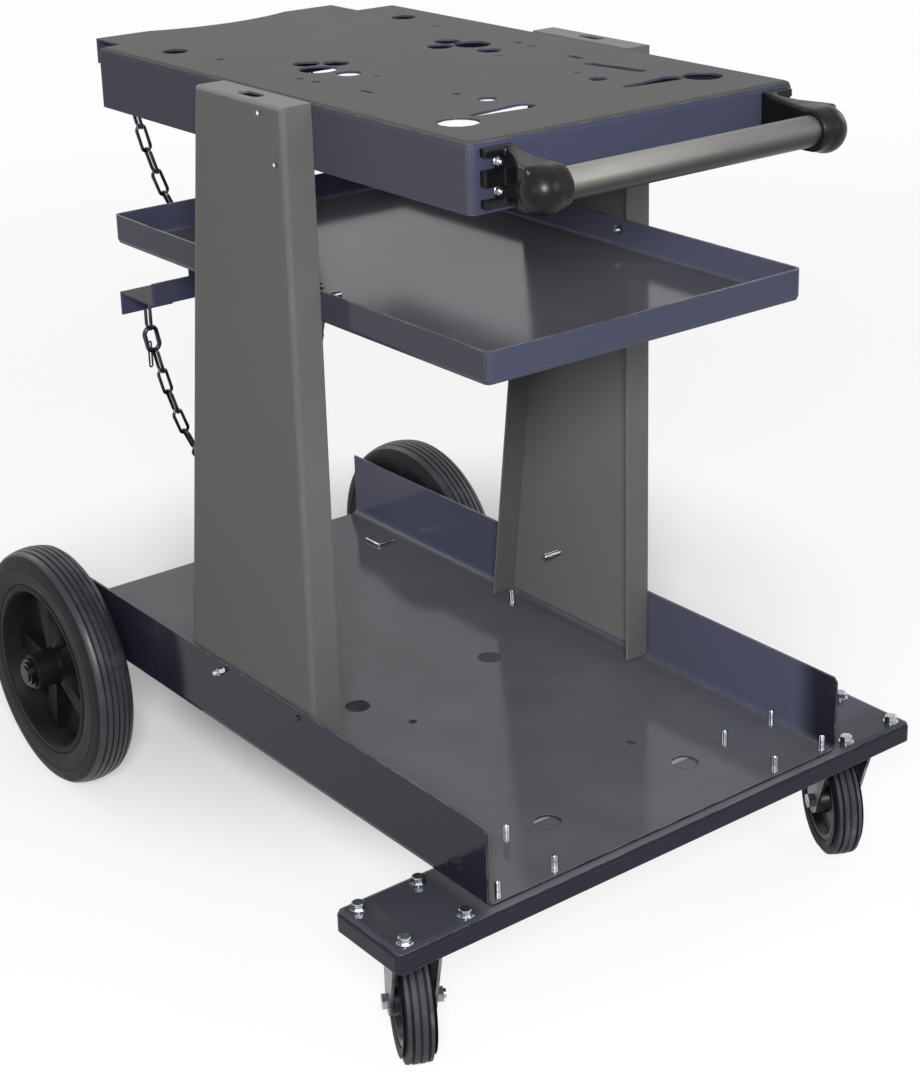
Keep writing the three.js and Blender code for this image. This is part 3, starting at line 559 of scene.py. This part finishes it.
def spoke(number):
    block = start(bpy.ops.mesh.primitive_cube_add, "spoke", size=1)
    bake(block)
    pick(block, "VERT", lambda v: True)
    bpy.ops.transform.resize(value=[v * MM for v in SPOKE], center_override=(0, 0, 0))
    pick(block, "VERT", lambda v: v.co.x > 0)
    bpy.ops.transform.resize(value=(1, FLARE, 0.75), center_override=(0, 0, -7 * MM))
    pick(block, "VERT", lambda v: v.co.z > 0)
    bpy.ops.transform.resize(value=(1, 0.8, 1), center_override=(0, 0, 0))
    mode("OBJECT")
    bake(block, place=[v * MM for v in SPOKE_PLACE])
    return bake(block, turn=(0, 0, number * 360 / SPOKES + 90))


for side, name in SIDES.items():
    hub = spun(name + "_rear_hub_look", HUB, 96, closed=True)
    combine(hub, "UNION", *[spoke(i) for i in range(SPOKES)])
    modify(hub, "BEVEL", width=0.9 * MM, segments=2, limit_method="ANGLE", angle_limit=math.radians(40))
    bake(hub, turn=OUTWARD[side])
    bake(hub, place=middle(name + "_rear_tyre"))
    hub.data.materials.append(hub_plastic)
    settle(hub, name + "_rear_wheel", "black_plastic", name + "_rear_hub")
    core = spun(name + "_caster_core_look", CORE, 72, closed=True)
    modify(core, "BEVEL", width=0.8 * MM, segments=2, limit_method="ANGLE", angle_limit=math.radians(40))
    bake(core, turn=OUTWARD[side])
    bake(core, place=middle(name + "_caster_tyre"), turn=(0, 0, CASTER_TURN))
    settle(core, name + "_caster_wheel", "black_plastic", name + "_caster_core")
    print(name, "hub", len(hub.data.polygons), "core", len(core.data.polygons))

# %% [markdown]
# ## Handle
# The tube is a thin-walled bar with slightly broken ends. Each bracket is a moulded elbow: a pad screwed to
# the shelf, a neck that leans out and swells into a ball, and a collar that takes the tube. The parts
# overlap, a remesh melts them into one skin, and smoothing rounds the hollows. The two slots that leave
# three claws on the pad's outer edge are cut last, so that they stay crisp.

# %% Handle tube
tube_low, tube_high = (Vector(v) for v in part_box("handle_tube"))
tube_half = (tube_high.x - tube_low.x) / 2 / MM
TUBE = [
    (10.5, -tube_half), (12, -tube_half), (12.5, -tube_half + 0.6), (12.5, tube_half - 0.6), (12, tube_half),
    (10.5, tube_half), (10.5, -tube_half),
]
tube = spun("handle_tube_look", TUBE, 64, closed=True)
bake(tube, turn=(0, 90, 0))
bake(tube, place=middle("handle_tube"))
settle(tube, "frame", "tube", "handle_tube")
print("tube", round(2 * tube_half), "mm long")

# %% Handle brackets
PAD = (29, 7, 45)
REACH = 55
BALL = (18, 18.5, 19)
BALL_DROP = 1
COLLAR = [(18, -2), (17.5, 10), (16.8, 15.2), (16, 16)]
NECK = [
    (0.15, 5, 21.5, 9.4), (0.3, 6, 20, 8), (0.5, 9, 18.5, 5), (0.75, 14, 17.5, 1), (1.0, 16, 17.5, 0),
]
SCREW_PITCH = 22


def handle_bracket(side):
    piece = start(bpy.ops.mesh.primitive_cube_add, SIDES[side] + "_handle_bracket_look", size=1)
    pick(piece, "VERT", lambda v: True)
    bpy.ops.transform.resize(value=[v * MM for v in PAD], center_override=(0, 0, 0))
    bpy.ops.transform.translate(value=(0, -PAD[1] / 2 * MM, 0))
    mode("OBJECT")
    neck = start(bpy.ops.mesh.primitive_plane_add, "neck", size=2 * MM, enter_editmode=True)
    wide, tall, along, sideways = 5, 22, 0, 9.5
    bpy.ops.transform.resize(value=(wide, tall, 1), center_override=(0, 0, 0))
    bpy.ops.transform.translate(value=(sideways * MM, 0, 0))
    for next_along, next_wide, next_tall, next_sideways in NECK:
        step = ((next_sideways - sideways) * MM, 0, (next_along - along) * REACH * MM)
        bpy.ops.mesh.extrude_region_move(TRANSFORM_OT_translate={"value": step})
        grow = (next_wide / wide, next_tall / tall, 1)
        centre = (next_sideways * MM, 0, next_along * REACH * MM)
        bpy.ops.transform.resize(value=grow, center_override=centre)
        along, wide, tall, sideways = next_along, next_wide, next_tall, next_sideways
    mode("OBJECT")
    modify(neck, "BEVEL", width=3 * MM, segments=3, limit_method="ANGLE", angle_limit=math.radians(60))
    bake(neck, turn=(90, 0, 0))
    ball = start(bpy.ops.mesh.primitive_uv_sphere_add, "ball", segments=48, ring_count=24, radius=MM)
    pick(ball, "VERT", lambda v: True)
    bpy.ops.transform.resize(value=BALL, center_override=(0, 0, 0))
    mode("OBJECT")
    bake(ball, place=(0, -REACH * MM, -BALL_DROP * MM))
    collar = bake(spun("collar", COLLAR, 48), turn=(0, 90, 0))
    bake(collar, place=(0, -REACH * MM, 0))
    join(piece, neck, ball, collar)
    modify(piece, "REMESH", mode="VOXEL", voxel_size=0.9 * MM)
    modify(piece, "SMOOTH", factor=0.5, iterations=16)
    for step in (-1, 1):
        slot = bake(spun("slot", [(5.4, -10), (5.4, 10)], 24), turn=(90, 0, 0))
        pick(slot, "VERT", lambda v: v.co.x < -0.1 * MM)
        bpy.ops.transform.translate(value=(-20 * MM, 0, 0))
        mode("OBJECT")
        bake(slot, place=(0.5 * MM, -PAD[1] / 2 * MM, step * SCREW_PITCH / 2 * MM))
        combine(piece, "DIFFERENCE", slot)
    bore = bake(spun("bore", [(12.7, 0.4), (12.7, 40)], 48), turn=(0, 90, 0))
    bake(bore, place=(0, -REACH * MM, 0))
    combine(piece, "DIFFERENCE", bore)
    if side > 0:
        pick(piece, "VERT", lambda v: True)
        bpy.ops.transform.resize(value=(-1, 1, 1), center_override=(0, 0, 0))
        mode("OBJECT")
    return piece


for side, name in SIDES.items():
    tube_middle = middle("handle_tube")
    pad_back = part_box(name + "_handle_bracket")[1][1]
    elbow = handle_bracket(side)
    bracket_x = side * (tube_half * MM + 0.6 * MM)
    bake(elbow, place=(bracket_x, pad_back, tube_middle.z))
    settle(elbow, "frame", "black_plastic", name + "_handle_bracket", angle=50)
    print(name, "bracket", len(elbow.data.polygons), "faces")

# %% [markdown]
# ## Chains
# A chain link is a torus pulled long: half of its corners move one way and half the other, so the stretched
# faces between become the straight sides. Links lie flat and upright in turn along the hanging curve that a
# chain of this length takes between the bracket's two eyes. The lower chain's second link is a thicker hook
# with a loose tail.

# %% Chains
LINK_PITCH = 24
LINK_W = 12.5
WIRE = 3.3
LINK_HALF = (LINK_PITCH + 2 * WIRE - 0.6) / 2
CHAIN_LINKS = 21
EYE_X = 105
HOOK_W = 18
HOOK_WIRE = 4.6
TAIL_HALF = 14


def link(name, long_half, width, wire):
    """One link in the XZ plane, long along X, sizes in mm."""
    bend = (width - wire) / 2
    ring = start(
        bpy.ops.mesh.primitive_torus_add, name, major_segments=24, minor_segments=12,
        major_radius=bend * MM, minor_radius=wire / 2 * MM,
    )
    bake(ring, turn=(90, 0, 7.5))
    for way in (-1, 1):
        pick(ring, "VERT", lambda v: v.co.x * way > 0)
        bpy.ops.transform.translate(value=(way * (long_half - bend - wire / 2) * MM, 0, 0))
        mode("OBJECT")
    return ring


def hanging(span, length):
    """Sag constant of a chain of that length between two points that far apart."""
    low, high = span / 40, span * 40
    for _ in range(60):
        guess = (low + high) / 2
        if 2 * guess * math.sinh(span / 2 / guess) > length:
            low = guess
        else:
            high = guess
    return (low + high) / 2


def chain(node):
    box_low, box_high = (Vector(v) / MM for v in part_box(node))
    eye_y = (box_low.y + box_high.y) / 2
    end_z = box_high.z - LINK_HALF
    hung = CHAIN_LINKS - 2
    sag = hanging(2 * EYE_X, hung * LINK_PITCH)
    level = sag * math.cosh(EYE_X / sag)
    links = []
    for number in range(CHAIN_LINKS):
        run = (number - 1 + 0.5 - hung / 2) * LINK_PITCH
        x = sag * math.asinh(run / sag)
        place = (x, eye_y, end_z - LINK_PITCH / 2 + sag * math.cosh(x / sag) - level)
        tilt = math.degrees(math.atan(math.sinh(x / sag)))
        turn = 0 if number % 2 else 90
        if number in (0, CHAIN_LINKS - 1):
            place, tilt = (math.copysign(EYE_X, run), eye_y, end_z), 90
        hook = number == 1 and node == "lower_chain"
        ring = link(node + "_link", LINK_HALF, *((HOOK_W, HOOK_WIRE) if hook else (LINK_W, WIRE)))
        bake(ring, turn=(turn, 0, 0))
        links.append(bake(ring, turn=(0, -tilt, 0), place=[v * MM for v in place]))
        if hook:
            tail = bake(link("tail", TAIL_HALF, 5, 1.8), turn=(0, 90, 0))
            down = place[2] - LINK_HALF - TAIL_HALF + 3 * HOOK_WIRE
            links.append(bake(tail, place=((place[0] - 3) * MM, place[1] * MM, down * MM)))
    return join(links[0], *links[1:])


for node in ("upper_chain", "lower_chain"):
    hung_chain = chain(node)
    hung_chain.name = node + "_look"
    settle(hung_chain, node, "chain", node)
    print(node, len(hung_chain.data.polygons), "faces")

# %% [markdown]
# ## Bolts and studs
# A hex bolt head is a six-sided bar cut by a shallow cone, which leaves the round chamfer on its top. Below
# it lies a washer. A thread is a three-cornered tooth that the screw modifier winds up round a pin.

# %% Fastener shapes
def hexagon(across, height):
    """Hex head or nut standing on z = 0, across its corners in mm."""
    head = start(
        bpy.ops.mesh.primitive_cylinder_add, "hex", vertices=6, radius=across / 2 * MM, depth=height * MM
    )
    bake(head, place=(0, 0, height / 2 * MM))
    cone = spun("cone", [(0.56 * across, -1), (0.56 * across, 0.66 * height), (0.4 * across, height)], 48)
    return combine(head, "INTERSECT", cone)


def washer(radius, bore, thick):
    edge = 0.3
    section = [
        (bore, 0), (radius, 0), (radius, thick - edge), (radius - edge, thick), (bore, thick), (bore, 0),
    ]
    return spun("washer", section, 32, closed=True)


def thread(radius, pitch, length):
    """Threaded pin from z = 0 up, with a plain chamfered tip."""
    core = radius - 0.45 * pitch
    tip = 0.8
    pin = spun("pin", [(core, 0), (core, length - tip), (core - 0.5, length)], 24)
    tooth = start(bpy.ops.mesh.primitive_plane_add, "tooth", size=MM)
    bake(tooth)
    pick(tooth, "VERT", lambda v: v.co.x > 0)
    bpy.ops.mesh.merge(type="CENTER")
    mode("OBJECT")
    pick(tooth, "VERT", lambda v: True)
    bpy.ops.transform.resize(value=(1, 0.9 * pitch, 1), center_override=(0, 0, 0))
    bpy.ops.transform.resize(value=(0.45 * pitch, 1, 1), center_override=(0, 0, 0))
    bpy.ops.transform.translate(value=((radius - 0.2 * pitch) * MM, 0, 0))
    mode("OBJECT")
    bake(tooth, turn=(90, 0, 0))
    bake(tooth, place=(0, 0, pitch / 2 * MM))
    turns = int((length - tip) / pitch)
    modify(tooth, "SCREW", axis="Z", angle=2 * math.pi, screw_offset=pitch * MM, iterations=turns, steps=20)
    return join(pin, tooth)


# %% Caster bolts and floor studs
HEAD_ACROSS = 11.6
SHANK_R = 4
STUD_R = 2.5


def caster_bolt(name):
    low, high = (Vector(v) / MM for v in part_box(name))
    head = bake(hexagon(HEAD_ACROSS, 4.6), place=(0, 0, high.z * MM - 2.9 * MM))
    ring = bake(washer(7, SHANK_R + 0.2, 1.4), place=(0, 0, (high.z - 4.5) * MM))
    nut = bake(hexagon(HEAD_ACROSS, 4.4), turn=(180, 0, 0), place=(0, 0, (low.z + 6.5) * MM))
    shank = bake(thread(SHANK_R, 1.25, high.z - low.z - 3), place=(0, 0, low.z * MM))
    piece = join(head, ring, nut, shank)
    piece.name = name + "_look"
    return bake(piece, place=((low.x + high.x) / 2 * MM, (low.y + high.y) / 2 * MM, 0))


for name in SIDES.values():
    for number in range(1, 5):
        node = f"{name}_caster_bolt_{number}"
        settle(caster_bolt(node), "frame", "zinc", node, angle=30)
        node = f"{name}_floor_stud_{number}"
        low, high = (Vector(v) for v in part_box(node))
        stud = thread(STUD_R, 1.0, (high.z - low.z) / MM + 2)
        stud.name = node + "_look"
        bake(stud, place=((low.x + high.x) / 2, (low.y + high.y) / 2, low.z))
        settle(stud, "frame", "zinc", node, angle=30)
    print(name, "bolts and studs")

# %% [markdown]
# ## Fixings
# Where the columns, the tray and the handle are screwed on, bolt ends and nuts stick out of the sheet. They
# are small, but each one is a bright point in the photograph. Every fixing is a threaded pin, with a nut or
# a washered head where one is seen. A bent wire pin lies loose at the back of the floor.

# %% Fixings
AIM = {"left": (0, -90, 0), "right": (0, 90, 0), "up": (0, 0, 0), "front": (90, 0, 0)}
FIXINGS = [
    ("base_bolt_rear", (-198, 16, 206), "left", 2.4, 8, 7.4),
    ("base_bolt_front", (-198, -110.6, 209), "left", 2, 2.6, 5),
    ("column_screw_upper", (-196.5, -101.2, 738), "left", 1.6, 2.4, 4.4),
    ("column_screw_lower", (-196.5, -121.2, 699.5), "left", 1.6, 2.4, 4.4),
    ("column_pin", (193.5, 1.1, 216.8), "left", 3, 20, 0),
    ("foot_stud", (171.7, 51.1, 147.5), "up", 2.6, 17, 0),
    ("tray_bolt_right", (164, -123.5, 582), "left", 3, 7, 9),
    ("tray_bolt_left_rear", (-164, -99.1, 585), "right", 3.2, 20, 9),
    ("tray_bolt_left_front", (-164, -126.4, 584), "right", 3.2, 20, 9),
]


def fixing(radius, length, nut):
    pin = thread(radius, 1.0, length)
    return join(pin, hexagon(nut, 0.4 * nut)) if nut else pin


for name, place, aim, radius, length, nut in FIXINGS:
    piece = bake(fixing(radius, length, nut), turn=AIM[aim])
    piece.name = name
    if name == "base_bolt_front":
        piece.data.materials.append(dark_steel)
    settle(bake(piece, place=[v * MM for v in place]), "frame", "zinc", angle=30)
for side, name in SIDES.items():
    for step in (-1, 1):
        screw = join(hexagon(6.6, 3.4), washer(4.9, 2, 1.2), thread(1.8, 0.8, 5.2))
        screw.name = name + "_handle_screw"
        bake(screw, turn=AIM["front"])
        pad_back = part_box(name + "_handle_bracket")[1][1]
        height = middle("handle_tube").z + step * SCREW_PITCH / 2 * MM
        bake(screw, place=(side * (tube_half + 0.1) * MM, pad_back - 3 * MM, height))
        settle(screw, "frame", "zinc", angle=30)


def rod(name, length):
    """Thin round wire from z = 0 up, with broken edges."""
    return spun(name, [(1.3, 0), (1.6, 0.4), (1.6, length), (1.3, length + 0.4)], 20)


PIN_PLACE = (157, 266.5, 149.4)
arm = bake(rod("bent_pin", 23), turn=(-90, 0, 0))
foot = bake(rod("foot", 21), turn=(0, 90, 0))
bent_pin = bake(join(arm, foot), place=[v * MM for v in PIN_PLACE])
settle(bent_pin, "frame", "zinc")
print(len(FIXINGS), "fixings, four handle screws and a bent pin")

# %% [markdown]
# ## Floor and light
# The cart stands on a plain white floor. A soft lamp beside the camera, weaker ones from the right, the left
# and behind, and a dim even sky give studio light. The floor and sky are white for the camera and in
# reflections. Away from the cart the floor shines a little by itself. Below and just behind the cart, away
# from the first lamp, the floor is painted dark grey without glow, a painted shadow, which is what shows
# through the holes in the base.

# %% Floor
bpy.ops.object.select_all(action="DESELECT")
bpy.ops.mesh.primitive_plane_add(size=30)
floor = bpy.context.object
floor.name = "floor"
floor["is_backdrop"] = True
floor_finish = Finish("floor_white", Roughness=0.9, Specular_IOR_Level=0.0)


def seen_rays(tree):
    """1 for what the camera sees, straight or in a reflection, and 0 for light that only bounces."""
    path = tree.nodes.new("ShaderNodeLightPath")
    kinds = ("Is Camera Ray", "Is Glossy Ray", "Is Transmission Ray")
    straight, mirrored, passed = (Wire(tree, path.outputs[kind]) for kind in kinds)
    return (straight + mirrored + passed).math("MINIMUM", 1.0)


NEAR_GLOW = 0.8
FAR_GLOW = 0.17
SHADOW_MIDDLE = (0.25, 0.35, 0)
# Painted shadow on the floor below and behind the cart: its bounds and its dark grey.
SHADOW_X = (0.0, 0.08, 0.28, 0.42)
SHADOW_Y = (-0.16, -0.06, 0.34, 0.5)
SHADOW_GREY = (0.16, 0.16, 0.17, 1)


def between(value, limits):
    """1 between the two middle limits, fading to 0 at the outer ones."""
    return value.ramp(*limits[:2]) * value.ramp(*limits[2:], 1.0, 0.0)


floor_tree = floor_finish.tree
seen = seen_rays(floor_tree)
spot = floor_finish.place
far = {"operation": "DISTANCE"}
from_cart = spot.node("ShaderNodeVectorMath", far, 1, in0=spot, in1=SHADOW_MIDDLE)
tone = floor_finish.noise(1.2, 2.0).ramp(0.2, 0.8, 0.97, 1.0)
pale = (seen * tone).blend((0.4, 0.4, 0.4, 1), (0.95, 0.95, 0.95, 1))
painted_shadow_mask = between(spot.part(0), SHADOW_X) * between(spot.part(1), SHADOW_Y)
# The painted shadow takes the dark grey colour and loses the glow.
floor_finish.set("Base Color", painted_shadow_mask.blend(pale, SHADOW_GREY))
shine = from_cart.ramp(0.28, 0.62) * NEAR_GLOW + from_cart.ramp(0.8, 3.0) * FAR_GLOW
shine = shine * painted_shadow_mask.ramp(0.0, 1.0, 1.0, 0.0)
glow = floor_tree.nodes.new("ShaderNodeEmission")
mixed = seen.node("ShaderNodeMixShader", in0=seen * shine)
floor_tree.links.new(floor_finish.shader.outputs[0], mixed.socket.node.inputs[1])
floor_tree.links.new(glow.outputs[0], mixed.socket.node.inputs[2])
floor_tree.links.new(mixed.socket, floor_tree.nodes["Material Output"].inputs["Surface"])
floor.data.materials.append(floor_finish.material)
print("floor", floor.name)

# %% Sky and lamps
world = bpy.data.worlds.new("studio")
bpy.context.scene.world = world
world.use_nodes = True
sky = world.node_tree
sky.links.new((seen_rays(sky) * 0.68 + 0.32).socket, sky.nodes["Background"].inputs["Strength"])
sky.nodes["Background"].inputs["Color"].default_value = (1, 1, 1, 1)


def lamp(name, place, aim, size, power):
    data = bpy.data.lights.new(name, "AREA")
    data.shape = "DISK"
    data.size = size
    data.energy = power
    made = bpy.data.objects.new(name, data)
    bpy.context.scene.collection.objects.link(made)
    made.location = place
    made.rotation_euler = (Vector(aim) - Vector(place)).to_track_quat("-Z", "Y").to_euler()
    return made


MIDDLE = (0, 0, 0.4)
lamp("key", (-1.25, -1.75, 1.35), MIDDLE, 0.5, 60)
lamp("fill", (0.7, -2.3, 1.4), MIDDLE, 1.2, 14)
lamp("left", (-2.5, -0.7, 1.1), MIDDLE, 1.0, 6)
lamp("right", (2.8, -0.4, 1.6), MIDDLE, 1.4, 12)
lamp("back", (-0.5, 2.9, 2.0), MIDDLE, 1.6, 16)
print("lamps and sky ready")

# %% [markdown]
# ## Sizes
# The box round everything that is shown, apart from the floor, is measured. The
# finished cart may not grow out of the solids' box.

# %% Size and end
low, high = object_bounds()
